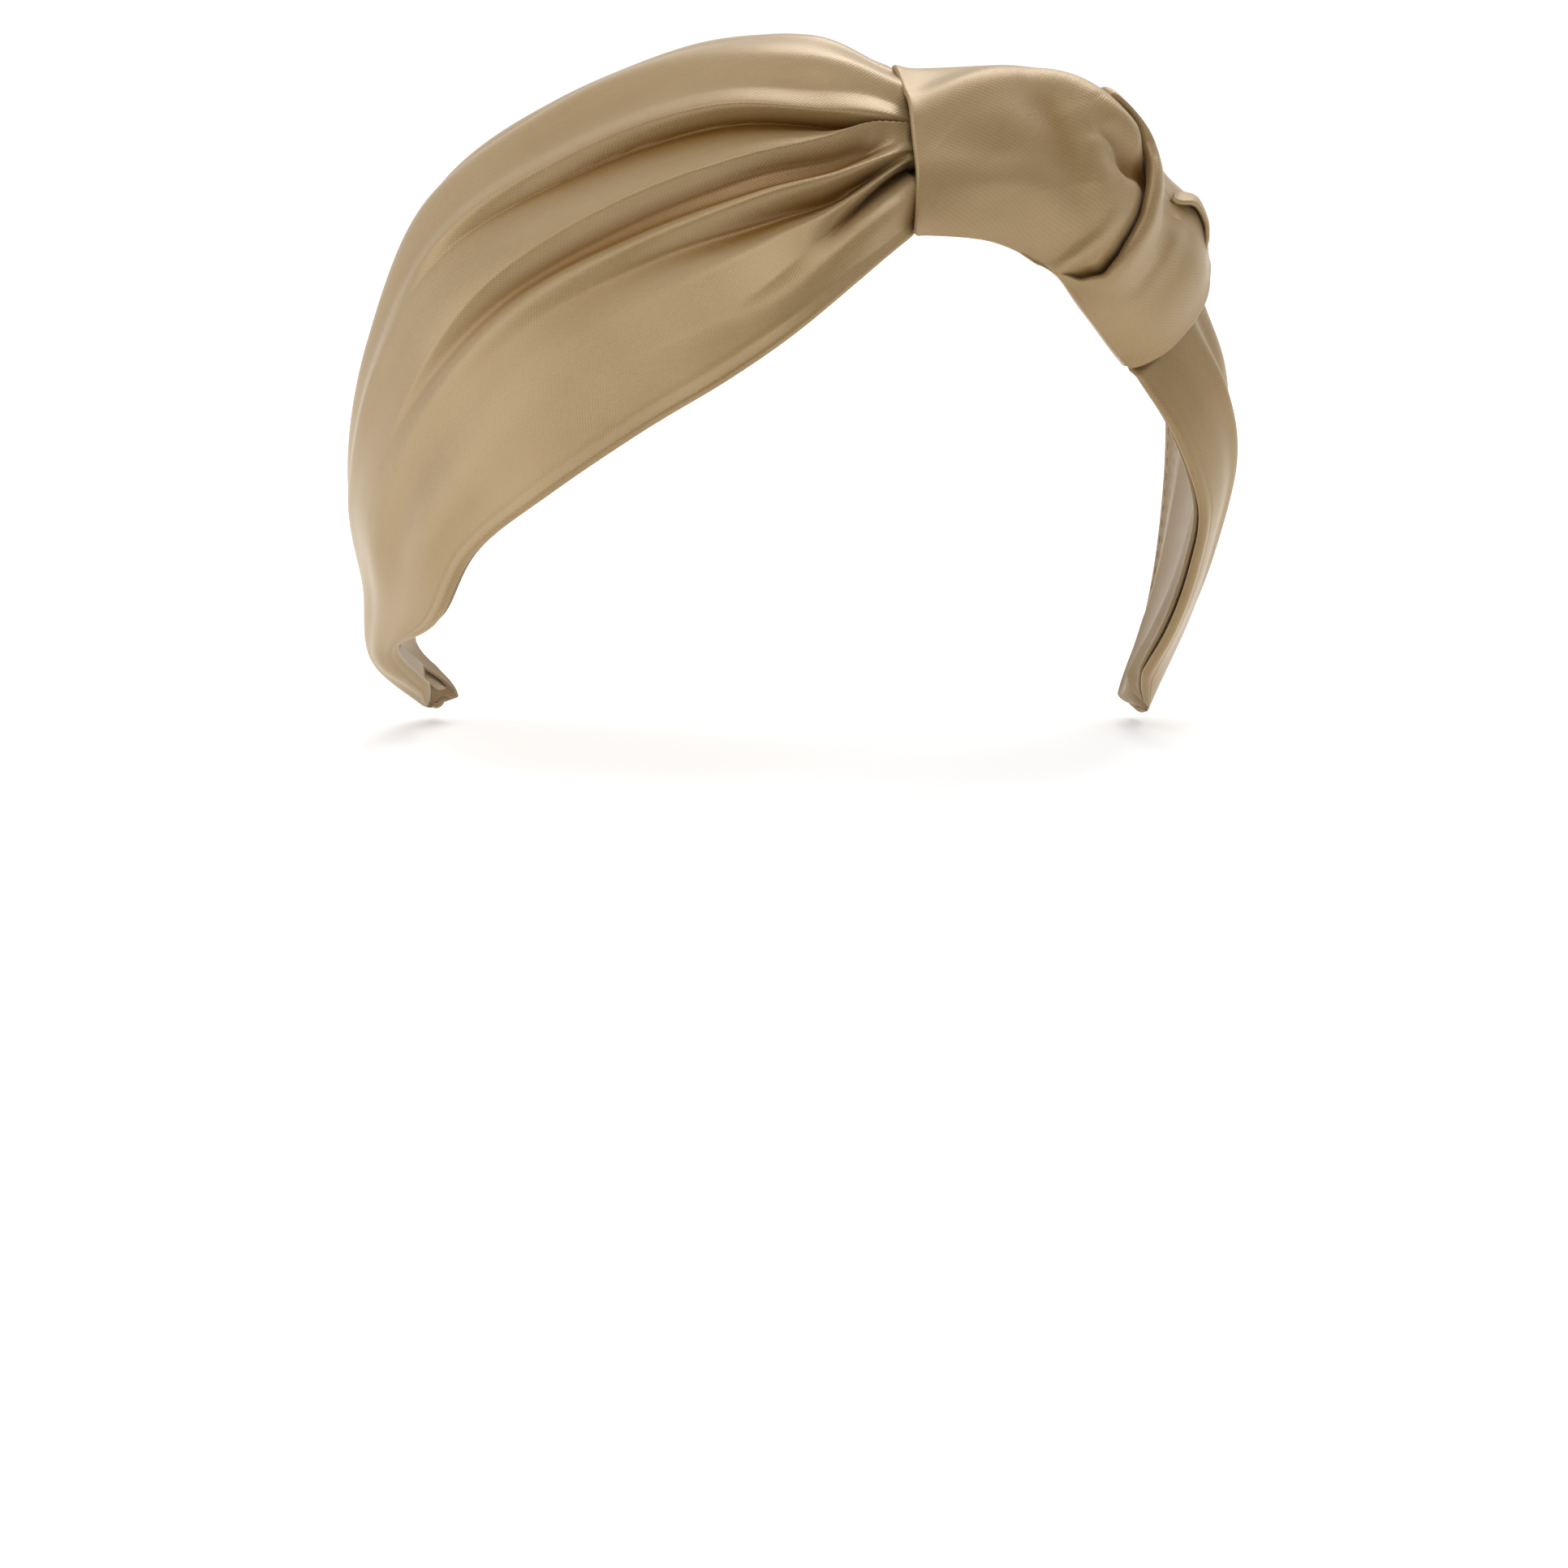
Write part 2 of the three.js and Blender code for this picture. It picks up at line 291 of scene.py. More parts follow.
def cloth_piece(name, outer, thickness, material, closed=False, fold_shade=None):
    """A thin closed solid: the outer face, one a cloth's thickness below it, and their rim.

    Where given, the fold shade says how deep in a fold each point of the outer face lies, 0 to 1; it
    is stored on the points so that the satin paints shade there.
    """
    rows, columns = outer.shape[:2]
    inner = outer - normals(outer, closed) * thickness
    points = np.concatenate([outer.reshape(-1, 3), inner.reshape(-1, 3)])
    count = rows * columns
    face = grid_faces(rows, columns, closed)
    faces = [face, face[:, ::-1] + count]
    if not closed:
        first = np.arange(rows - 1) * columns
        last = first + columns - 1
        faces.append(rim_faces(first + columns, first, count))
        faces.append(rim_faces(last, last + columns, count))
    start = np.arange(columns if closed else columns - 1)
    beside = (start + 1) % columns
    end = (rows - 1) * columns
    faces.append(rim_faces(start, beside, count))
    faces.append(rim_faces(end + beside, end + start, count))
    faces = np.concatenate(faces)
    uv = uv_of_loops(cloth_uv(outer, closed), faces, columns, count, closed)
    piece = mesh_object(name, points, faces, material, uv)
    # The painted fold shade, kept on the points for the satin's colour
    if fold_shade is not None:
        layer = piece.data.attributes.new("fold_shade", "FLOAT", "POINT")
        layer.data.foreach_set("value", np.tile(fold_shade.ravel(), 2).astype(np.float32))
    return piece


def fold_shade_from_relief(relief):
    """How deep in a fold each point lies, 0 to 1, from its relief and the relief beside it: the amount
    of painted shade the satin gets there.
    """
    around = relief
    steps = range(-HOLLOW_REACH, HOLLOW_REACH + 1)
    for _ in range(3):
        around = sum(np.roll(around, step, axis=1) for step in steps) / len(steps)
    below = np.clip((around - relief) / HOLLOW_BELOW_NEIGHBOURS, 0, 1)
    sunk = np.clip((HOLLOW_START - relief) / HOLLOW_FULL, 0, 1)
    return np.clip(below + sunk, 0, 1)


def ring_solid(name, rings, material):
    """A solid whose every row is a closed ring, with a fan over each end."""
    rows, columns = rings.shape[:2]
    hubs = [rings[end].mean(axis=0)[None] for end in (0, -1)]
    points = np.concatenate([rings.reshape(-1, 3), *hubs])
    faces = [list(face) for face in grid_faces(rows, columns, True)]
    count = rows * columns
    for j in range(columns):
        beside = (j + 1) % columns
        faces.append([count, beside, j])
        faces.append([count + 1, count - columns + j, count - columns + beside])
    return mesh_object(name, points, faces, material)


def uv_of_loops(uv, faces, columns, count, closed):
    corner = faces % count
    row, column = corner // columns, corner % columns
    if closed:
        crosses = (column.max(axis=1) - column.min(axis=1) > 1)[:, None]
        column = np.where(crosses & (column == 0), columns, column)
    return uv[row, column].reshape(-1, 2)


# ------------------------------------------------------------
# The wing and the leg: a cover whose edges turn under, wadding and a lining
# ------------------------------------------------------------
def rounded(distance, radius):
    """The share of full size at a distance from a rounded end."""
    return np.sqrt(np.clip(1 - (1 - np.clip(distance / radius, 0.004, 1)) ** 2, 0, 1))


class Side:
    """One side of the band. u runs along it from left to right, v across it from front to back."""

    def __init__(self, sections, u, v_count, length, tip_at, radius):
        self.sections, self.u, self.length, self.radius = sections, u, length, radius
        self.v = np.linspace(0, 1, v_count)
        from_tip = np.abs(u - tip_at) * length
        in_knot = ease((u - 1.01) / 0.035) + ease((-u - 0.03) / 0.04)
        self.tip = rounded(from_tip, TIP_ROUND) * (1 - NARROWING_IN_KNOT * in_knot)
        self.close = rounded(from_tip, TIP_CLOSE)[:, None]
        near_tip, at_tip = ease((60 - from_tip) / 20), ease((12 - from_tip) / 6)
        self.room = (ROOM_NEAR_TIP * near_tip + ROOM_AT_TIP * at_tip)[:, None]
        front, crest, back = (through(sections[:, k], u) for k in range(3))
        self.width = np.linalg.norm(front - crest, axis=1) + np.linalg.norm(back - crest, axis=1)
        self.core = np.minimum(CORE_HALF_WIDTH, CORE_SHARE * self.width)[:, None]
        self.half = ((0.5 * self.width - radius) * self.tip)[:, None]
        self.square = self.squareness(front, back)[:, None]

    @staticmethod
    def squareness(front, back):
        """1 where rows cross both edges squarely, falling to 0 where they run almost along one."""
        chord = unit(back - front)
        runs = (unit(np.gradient(edge, axis=0)) for edge in (front, back))
        slants = [np.linalg.norm(np.cross(run, chord), axis=1) for run in runs]
        return ease((np.minimum(*slants) - 0.25) / 0.45)

    def face(self, v):
        """The smooth outer face at places across it, given for each row or for all."""
        v = np.broadcast_to(v, (len(self.u), np.shape(v)[-1]))
        v = (0.5 + (v - 0.5) * 2 * self.half / self.width[:, None])[..., None]
        front, crest, back = (through(self.sections[:, k], self.u)[:, None] for k in range(3))
        return front * (1 - v) * (1 - 2 * v) + crest * 4 * v * (1 - v) + back * v * (2 * v - 1)

    def below(self, v, depth):
        """Points a depth under the smooth face, closing up to it at the tip."""
        base = self.face(v)
        return base - normals(base) * (depth * self.close)[..., None]

    def from_edge(self, v):
        """Millimetres from the nearer edge."""
        return (0.5 - np.abs(v - 0.5)) * 2 * self.half

    def cover(self, rise, lean):
        """The cover's outer face with its folds, its turned edges and its hems."""
        base = self.face(self.v)
        out = normals(base)
        across = unit(np.gradient(base, axis=1))
        scale = self.close[..., None]
        outer = base + out * (rise[..., None] * scale) + across * (lean[..., None] * scale)
        front_away, back_away = self.off_edges(outer, out)
        front = self.turn(outer[:, 0], out[:, 0], front_away, self.radius)[:, ::-1]
        back = self.turn(outer[:, -1], out[:, -1], back_away, self.radius)
        hem = np.minimum(HEM * (0.3 + 0.7 * self.square), 0.6 * self.half)
        inward = np.linspace(0, 1, 7)[1:] * hem / (2 * self.half)
        front_hem = self.below(inward, 2 * self.radius)[:, ::-1]
        back_hem = self.below(1 - inward[:, ::-1], 2 * self.radius)[:, ::-1]
        return np.concatenate([front_hem, front, outer, back, back_hem], axis=1)

    def off_edges(self, face, out):
        """The directions that leave a face squarely over its front edge and over its back edge."""
        runs = (unit(np.gradient(face[:, k], axis=0)) for k in (0, -1))
        front, back = (unit(np.cross(run, out[:, k])) for run, k in zip(runs, (0, -1)))
        return front, -back

    def turn(self, edge, out, away, radius):
        """The half round by which the cloth turns under at an edge."""
        angle = np.linspace(0, math.pi, 9)[1:, None]
        radius = (radius * self.close)[..., None]
        drop = out[:, None] * (1 - np.cos(angle)) * radius
        return edge[:, None] - drop + away[:, None] * np.sin(angle) * radius

    def lining(self, inset, v_count):
        """The lining's face on the head's side, its edges turned in, seen from there."""
        margin = np.maximum(self.half - self.core, 0.5)
        inset = np.minimum(inset * self.square, 0.3 * margin)
        roll = LINING_ROLL * (0.35 + 0.65 * self.square)
        edge = 0.5 * inset / self.half
        v = edge + np.linspace(0, 1, v_count) * (1 - 2 * edge)
        edge_depth = 2 * self.radius + 2 * roll + 0.1
        past_edge = (self.from_edge(v) - inset) / ((0.6 + 0.25 * self.square) * margin - inset)
        lip = LINING_LIP * self.square * bump((past_edge - 0.08) / 0.14)
        full_depth = LINING_DEPTH + self.room
        face = self.below(v, edge_depth + (full_depth - edge_depth) * ease(past_edge) + lip)
        out = normals(self.face(v))
        front_away, back_away = self.off_edges(face, out)
        front = self.turn(face[:, 0], -out[:, 0], front_away, roll)[:, ::-1]
        back = self.turn(face[:, -1], -out[:, -1], back_away, roll)
        return np.concatenate([front, face, back], axis=1)[:, ::-1]

    def wadding(self, rise, v_count):
        """A closed ring for each row of the wadding: top under the cover, bottom on the core."""
        past_core = CORE_SHARE * self.square * (self.half - self.core)
        half = 0.5 * np.minimum(self.core + past_core, 0.9 * self.half) / self.half
        share = np.linspace(-1, 1, v_count)
        v = 0.5 + share * half
        for step in range(-6, 7):
            rise = np.minimum(rise, np.roll(rise, step, axis=1))
        place = v * (len(self.v) - 1)
        low = np.clip(place.astype(int), 0, len(self.v) - 2)
        rows = np.arange(len(self.u))[:, None]
        over = rise[rows, low] + (rise[rows, low + 1] - rise[rows, low]) * (place - low)
        round_off = np.sqrt(1 - np.clip(np.abs(share), 0, 0.999) ** 8)
        bottom = CORE_TOP - WADDING_TOUCH
        top = np.minimum(SATIN_THICK + WADDING_GAP - over, bottom - THINNEST_WADDING)
        top = bottom + (top - bottom) * round_off
        return np.concatenate([self.below(v, top), self.below(v, bottom)[:, -2:0:-1]], axis=1)


def fold_relief(side, tracks):
    """How far the cloth rises and leans across, between folds that run along the band.

    A track is a fold line: where it lies across the band, how high it is, how far it leans towards
    the back edge, all by places along the band, and how sharp it is.
    """
    u = side.u
    lines = [smooth_line(u, *zip(*track["at"])) for track in tracks]
    highs = [smooth_line(u, *zip(*track["rise"])) for track in tracks]
    leans = [smooth_line(u, *zip(*track.get("lean", [(0, 0), (1, 0)]))) for track in tracks]
    rise = np.zeros((len(u), len(side.v)))
    lean = np.zeros_like(rise)
    for k in range(len(tracks) - 1):
        low, high = lines[k][:, None], lines[k + 1][:, None]
        x = (side.v - low) / (high - low)
        inside = (x >= 0) & (x <= 1)
        x = np.clip(x, 0, 1)
        sharp_low, sharp_high = tracks[k].get("sharp", 0), tracks[k + 1].get("sharp", 0)
        blend = ease(x)
        blend = blend + sharp_low * (np.sin(x * math.pi / 2) ** 0.8 - blend)
        blend = blend + sharp_high * (1 - np.cos(x * math.pi / 2) ** 0.8 - blend)
        rise = np.where(inside, highs[k][:, None] + (highs[k + 1] - highs[k])[:, None] * blend, rise)
        lean = np.where(inside, leans[k][:, None] + (leans[k + 1] - leans[k])[:, None] * blend, lean)
    return rise, lean


WING_FOLDS = [
    {"at": [(0, 0), (1, 0)], "rise": [(0, 0), (1, 0)]},
    {
        "at": [(0.4, 0.09), (0.6, 0.08), (0.8, 0.06), (0.9, 0.085), (1, 0.13)],
        "rise": [(0.3, 0.3), (0.6, 0.7), (0.8, 1.2), (0.92, 2.9), (1, 2.6)],
    },
    {
        "at": [(0.4, 0.13), (0.8, 0.095), (0.86, 0.125), (0.9, 0.158), (0.94, 0.2)]
        + [(1, 0.262)],
        "rise": [(0.3, 0.3), (0.7, 0.7), (0.84, 0.8), (0.88, -1.0), (0.94, -3.0), (1, -3.0)],
        "sharp": 0.7,
        "lean": [(0.85, 0), (0.92, 0.8), (1, 0.8)],
    },
    {
        "at": [(0.4, 0.18), (0.8, 0.155), (0.86, 0.172), (0.9, 0.198), (0.94, 0.232)]
        + [(1, 0.285)],
        "rise": [(0.3, 0.3), (0.7, 0.6), (0.82, 1.0), (0.9, 1.8), (0.96, 2.0), (1, 1.4)],
        "lean": [(0.8, 0), (0.9, -0.9), (1, -0.6)],
    },
    {
        "at": [(0.4, 0.24), (0.68, 0.222), (0.8, 0.212), (0.87, 0.22), (0.94, 0.26)]
        + [(1, 0.305)],
        "rise": [(0.3, 0.3), (0.5, 0.1), (0.67, -1.4), (0.8, -2.6), (0.9, -2.9), (0.95, -1.6)]
        + [(0.99, 0.8), (1, 1.2)],
    },
    {
        "at": [(0.4, 0.285), (0.6, 0.266), (0.8, 0.256), (0.89, 0.27), (0.96, 0.306)]
        + [(1, 0.335)],
        "rise": [(0.3, 0.3), (0.5, 0.5), (0.67, 1.0), (0.84, 1.7), (0.95, 2.0), (1, 1.8)],
        "lean": [(0.6, 0), (0.8, -0.8), (1, -0.6)],
    },
    {
        "at": [(0.4, 0.33), (0.6, 0.316), (0.8, 0.306), (0.87, 0.32), (0.93, 0.352)]
        + [(1, 0.378)],
        "rise": [(0.3, 0.3), (0.42, 0.1), (0.55, -1.6), (0.7, -3.2), (0.88, -3.8), (0.94, -2.6)]
        + [(0.98, 0.6), (1, 1.2)],
    },
    {
        "at": [(0.4, 0.35), (0.6, 0.358), (0.8, 0.372), (0.88, 0.392), (0.93, 0.42)]
        + [(1, 0.448)],
        "rise": [(0.3, 0.3), (0.45, 0.4), (0.6, 0.9), (0.75, 1.5), (0.9, 1.7), (0.95, 2.1)]
        + [(1, 1.8)],
        "lean": [(0.5, 0), (0.7, -1.2), (0.88, -1.0), (0.95, 0.6), (1, 0.8)],
        "sharp": 0.5,
    },
    {
        "at": [(0.3, 0.53), (0.62, 0.51), (0.72, 0.495), (0.79, 0.49), (0.86, 0.475)]
        + [(0.93, 0.448), (1, 0.46)],
        "rise": [(0.3, 0.3), (0.5, 0.3), (0.58, -1.2), (0.66, -2.4), (0.75, -3.1), (1, -3.2)],
        "sharp": 0.6,
        "lean": [(0.6, 0), (0.8, 0.2), (1, 0.4)],
    },
    {
        "at": [(0.3, 0.57), (0.62, 0.55), (0.72, 0.532), (0.79, 0.522), (0.86, 0.505)]
        + [(0.93, 0.5), (1, 0.51)],
        "rise": [(0.3, 0.3), (0.5, 0.5), (0.6, 1.0), (0.72, 2.0), (0.85, 2.5), (0.95, 2.6)]
        + [(1, 1.6)],
        "lean": [(0.5, 0), (0.7, -1.4), (0.9, -2.2), (1, -1.4)],
    },
    {
        "at": [(0.3, 0.62), (0.7, 0.585), (0.85, 0.565), (1, 0.56)],
        "rise": [(0.3, 0.3), (0.5, 0.3), (0.7, 1.1), (0.85, 1.6), (0.95, 1.8), (1, 1.0)],
        "lean": [(0.5, 0), (0.8, -0.4), (1, -0.3)],
    },
    {
        "at": [(0.3, 0.73), (0.66, 0.71), (0.8, 0.7), (1, 0.68)],
        "rise": [(0.3, 0.5), (0.5, 1.1), (0.7, 2.2), (0.85, 3.4), (0.94, 3.6), (1, 2.2)],
    },
    {
        "at": [(0.3, 0.86), (0.8, 0.85), (1, 0.85)],
        "rise": [(0.3, 0.3), (0.7, 1.0), (0.9, 2.0), (1, 1.2)],
    },
    {"at": [(0, 1), (1, 1)], "rise": [(0, 0), (1, 0)]},
]


def edge_seam(side, depth=0.13, place=1.5, width=0.4):
    """The understitched line that follows each edge."""
    from_edge = side.from_edge(side.v)
    return -depth * bump((from_edge - place) / width)


def soft_relief(side, seed, amount):
    """Faint long undulations that follow the band."""
    along = side.u[:, None] * side.length / 60
    across = (side.v - 0.5) * side.width[:, None] / 18
    fade = ease(side.from_edge(side.v) / 9)
    return amount * fade * ripple(along, across, seed)


def clear_of_core(side, rise):
    """Holds valleys off the wadding over the core; past its sides they may sink deeper."""
    from_middle = np.abs(side.v - 0.5) * 2 * side.half
    past_wadding = from_middle - side.core - CORE_SHARE * (side.half - side.core)
    floor = -DEEPEST_FOLD - SIDE_FOLD_ROOM * ease(past_wadding / 3)
    return held_above(rise, floor + FOLD_EASING, FOLD_EASING)


def wing_cover_relief(side):
    rise, lean = fold_relief(side, WING_FOLDS)
    rise = clear_of_core(side, rise + edge_seam(side) + soft_relief(side, 5, 0.28))
    return rise - WING_SINK_IN_KNOT * ease((side.u - 1.0) / 0.045)[:, None], lean


def leg_cover_relief(side):
    u = side.u
    fold = smooth_line(u, (-0.1, 0.2, 0.5, 1), (0.3, 0.3, 0.33, 0.4))[:, None]
    strength = smooth_line(u, (-0.1, 0.05, 0.25, 0.5, 0.75), (0, 0.6, 1, 0.9, 0))[:, None]
    rise = edge_seam(side) + soft_relief(side, 11, 0.3)
    rise = rise + strength * 1.3 * bump((side.v - fold) / 0.05)
    rise = rise - strength * 1.0 * bump((side.v - fold - 0.12) / 0.07)
    return rise - LEG_SINK_IN_KNOT * ease(-u / 0.06)[:, None], np.zeros_like(rise)


def make_side(prefix, side, relief, lining_inset):
    rise, lean = relief(side)
    cover_face = side.cover(rise, lean)
    # Painted shade for the cover's folds, faded out near its edges
    fold_shade = np.zeros(cover_face.shape[:2])
    margin = (fold_shade.shape[1] - rise.shape[1]) // 2
    fold_shade[:, margin : margin + rise.shape[1]] = fold_shade_from_relief(rise) * ease(side.from_edge(side.v) / 6)
    cover = cloth_piece(f"{prefix}_cover_satin", cover_face, SATIN_THICK, outer_satin, fold_shade=fold_shade)
    lining_face = side.lining(lining_inset, LINING_COLUMNS)
    lining = cloth_piece(f"{prefix}_lining_satin", lining_face, LINING_THICK, lining_satin)
    inside = (side.u > 0.03) & (side.u < 0.97)
    pad_rows = np.flatnonzero((side.u > 0.05) & (side.u < 0.95))[::3]
    rings = side.wadding(rise, WADDING_COLUMNS)[pad_rows]
    wadding = ring_solid(f"{prefix}_foam_pad", rings, foam)
    stitches = make_stitches(f"{prefix}_stitches", lining_face[inside])
    return cover, lining, wadding, stitches


def stitch_shape():
    """One stitch lying along x: its points, and faces of four corners, some of them repeated."""
    end = STITCH_LENGTH / 2
    points = [(-end, 0, 0), (end, 0, 0)]
    for band in np.linspace(0, math.pi, STITCH_BANDS + 2)[1:-1]:
        for turn in np.linspace(0, 2 * math.pi, STITCH_SIDES, endpoint=False):
            radius = STITCH_RADIUS * math.sin(band)
            y, z = radius * math.cos(turn), radius * math.sin(turn)
            points.append((-end * math.cos(band), y, z))
    faces = []
    rows = [[2 + STITCH_SIDES * i + j for j in range(STITCH_SIDES)] for i in range(STITCH_BANDS)]
    for j in range(STITCH_SIDES):
        k = (j + 1) % STITCH_SIDES
        faces.append([0, rows[0][k], rows[0][j], rows[0][j]])
        faces.append([1, rows[-1][j], rows[-1][k], rows[-1][k]])
        for low, high in zip(rows, rows[1:]):
            faces.append([low[j], low[k], high[k], high[j]])
    return np.array(points), np.array(faces)


def make_stitches(name, lining_face):
    """Small running stitches that hold the lining's edges to the hem."""
    out = normals(lining_face)
    seeds = []
    for column in STITCH_COLUMNS:
        line, up = lining_face[:, column], out[:, column]
        steps = np.linalg.norm(np.diff(line, axis=0), axis=1)
        along = np.concatenate([[0], np.cumsum(steps)])
        marks = np.arange(STITCH_PITCH, along[-1] - STITCH_PITCH, STITCH_PITCH)
        place, ahead, rise = (
            np.stack([np.interp(at, along, track[:, k]) for k in range(3)], axis=1)
            for at, track in ((marks, line), (marks + 0.5, line), (marks, up))
        )
        rise = unit(rise)
        seeds.append((place + rise * 0.02, unit(ahead - place), rise))
    place, ahead, rise = (np.concatenate(part) for part in zip(*seeds))
    shape, faces = stitch_shape()
    frames = np.stack([ahead, np.cross(rise, ahead), rise], axis=1)
    points = place[:, None] + np.einsum("pk,nkc->npc", shape, frames)
    faces = faces[None] + (np.arange(len(place)) * len(shape))[:, None, None]
    faces = [list(dict.fromkeys(face)) for face in faces.reshape(-1, 4).tolist()]
    return mesh_object(name, points.reshape(-1, 3), faces, thread)


def make_wing():
    tip, corner = np.linspace(0, 0.04, 30)[:-1], np.linspace(0.04, 0.2, 100)[:-1]
    u = np.concatenate([tip, corner, np.linspace(0.2, 1.045, 330)])
    side = Side(WING, u, 240, WING_LENGTH, 0, WING_EDGE_RADIUS)
    return make_side("wing", side, wing_cover_relief, WING_LINING_INSET)


def make_leg():
    u = np.concatenate([np.linspace(-0.07, 0.95, 190), np.linspace(0.95, 1, 24)[1:]])
    side = Side(LEG, u, 120, LEG_LENGTH, 1, LEG_EDGE_RADIUS)
    return make_side("leg", side, leg_cover_relief, LEG_LINING_INSET)


# ------------------------------------------------------------
# The knot: turns of cloth round the band
# ------------------------------------------------------------
def knot_frame(t):
    """The knot's middle, its directions across and out, half width, height and lean."""
    front, crest, back = (
        through(KNOT[:, k], np.ravel(t)).reshape(*np.shape(t), 3) for k in range(3)
    )
    centre = (front + back) / 2
    half = np.linalg.norm(back - front, axis=-1) / 2
    across = unit(back - front)
    lean = ((crest - centre) * across).sum(-1)
    out = crest - centre - across * lean[..., None]
    return centre, across, unit(out), half, np.linalg.norm(out, axis=-1), lean


def knot_point(t, angle, grow, underside):
    """A point on a turn of the knot: angle 0 at its front edge, a quarter turn at its crest."""
    t, angle, grow = np.broadcast_arrays(t, angle, grow)
    centre, across, out, half, height, lean = knot_frame(t)
    up = np.sin(angle)
    sideways = -(half + grow) * np.cos(angle) + lean * np.maximum(up, 0)
    outwards = np.where(up > 0, (height + grow) * up, underside * up)
    return centre + across * sideways[..., None] + out * outwards[..., None]


def held_above(grow, start, room):
    """Eases anything below a start level so that it never sinks further than the room under it."""
    eased = start - room * (1 - np.exp(np.minimum(grow - start, 0) / room))
    return np.where(grow < start, eased, grow)


# The filling lies on the core, whose top climbs along the knot, and stays below the wraps
CORE_TOP_START, CORE_TOP_SLOPE = 1.7, 7.3
FILLING_GAP = 0.45
FILLING_RIM = 0.5
FILLING_DEPTH, FILLING_RISE_AT_FOOT = 4.8, 2.3


def make_filling():
    """The gathered satin inside the turns, over the core."""
    t = np.linspace(0.05, 0.985, 70)[:, None]
    centre, across, out, half, height, lean = knot_frame(t)
    base = CORE_TOP_START + CORE_TOP_SLOPE * t + FILLING_GAP
    below_wraps = FILLING_DEPTH - FILLING_RISE_AT_FOOT * ease((t - 0.88) / 0.08)
    reach = height - below_wraps
    rim = np.arcsin((base + FILLING_RIM) / reach)
    angle = rim + (math.pi - 2 * rim) * np.linspace(0, 1, 60)
    up = np.sin(angle)
    gathers = 0.35 * np.sin(9 * angle + 2 * ripple(t * 2, angle, 21, 4)) * ease((up - 0.4) / 0.3)
    sideways = -(half - below_wraps) * np.cos(angle) + lean * up
    top = centre + across * sideways[..., None] + out * (reach * up + gathers)[..., None]
    floor_side = sideways[:, ::-1][:, 1:-1]
    floor_rise = np.broadcast_to(base, floor_side.shape)[..., None]
    floor = centre + across * floor_side[..., None] + out * floor_rise
    return ring_solid("knot_gathered_satin", np.concatenate([top, floor], axis=1), lining_satin)


def line_distance(x, y, points):
    """Signed distance to a line of points and how far along it the nearest place is, 0 to 1."""
    best = np.full(np.shape(x), 1e9)
    side = np.zeros_like(best)
    share = np.zeros_like(best)
    for k, ((ax, ay), (bx, by)) in enumerate(zip(points, points[1:])):
        dx, dy = bx - ax, by - ay
        f = np.clip(((x - ax) * dx + (y - ay) * dy) / (dx * dx + dy * dy), 0, 1)
        gap = np.hypot(x - ax - f * dx, y - ay - f * dy)
        nearer = gap < best
        turn = np.sign(dx * (y - ay) - dy * (x - ax))
        best = np.where(nearer, gap, best)
        side = np.where(nearer, turn, side)
        share = np.where(nearer, (k + f) / (len(points) - 1), share)
    return best * side, share


def knot_line(*points):
    """Turns (share of the knot's length, degrees round it) into millimetres on its face."""
    return [(t * KNOT_LENGTH, math.radians(angle) * KNOT_RADIUS) for t, angle in points]


def stroke(x, y, points, width, rise):
    """A soft ridge along a line, or a groove if it falls, fading out at both ends."""
    smooth = through(np.array(points), np.linspace(0, 1, 4 * len(points)))
    gap, share = line_distance(x, y, smooth)
    fade = 0.35 + 0.65 * np.sin(math.pi * np.clip(share, 0, 1))
    return rise * fade * bump(gap / width)


# Where the collar starts and ends along the knot, for angles round it
COLLAR_START = {
    "angle": [0, 4, 15, 26, 46, 67, 80, 88, 92, 96, 104, 120, 150, 180, 230, 300, 345, 360],
    "t": [0.5, 0.63, 0.71, 0.722, 0.712, 0.674, 0.65, 0.625, 0.56, 0.505, 0.48, 0.465]
    + [0.455, 0.45, 0.45, 0.46, 0.48, 0.5],
}
COLLAR_FOOT = {
    "angle": [0, 5, 22, 51, 66, 80, 120, 180, 270, 350, 360],
    "t": [0.995, 1.012, 1.032, 1.032, 1.02, 0.992, 0.985, 0.985, 0.98, 0.975, 0.995],
}
COLLAR_START_PASSES = 10
COLLAR_FOOT_PASSES = 60
TURN_STEPS = 600
WRAP_START = -0.012
WRAP_UNDER_COLLAR = 0.06
WRAP_UNDERSIDE = 2.9
COLLAR_UNDERSIDE = 4.4
DEEPEST_CREASE = 3.0
CREASE_EASING = 1.4
TAIL_START, TAIL_SPAN = 0.745, 0.195


def turn_angles():
    """A full turn round the knot."""
    return np.linspace(0, 2 * math.pi, TURN_STEPS, endpoint=False)[None]


def round_knot(angle):
    """Millimetres round the knot from its front edge, broken under its middle."""
    return ((angle + math.pi / 2) % (2 * math.pi) - math.pi / 2) * KNOT_RADIUS


def off_seam(y):
    """Fades unevenness out towards the break in round_knot."""
    quarter = 0.5 * math.pi * KNOT_RADIUS
    return ease((y + quarter) / 12) * ease((3 * quarter - y) / 12)


def round_line(angle, line, passes):
    """Reads a closed line round the knot and smooths it."""
    t = np.interp(np.degrees(angle), line["angle"], line["t"])
    for _ in range(passes):
        t = (np.roll(t, 1) + 2 * t + np.roll(t, -1)) / 4
    return t


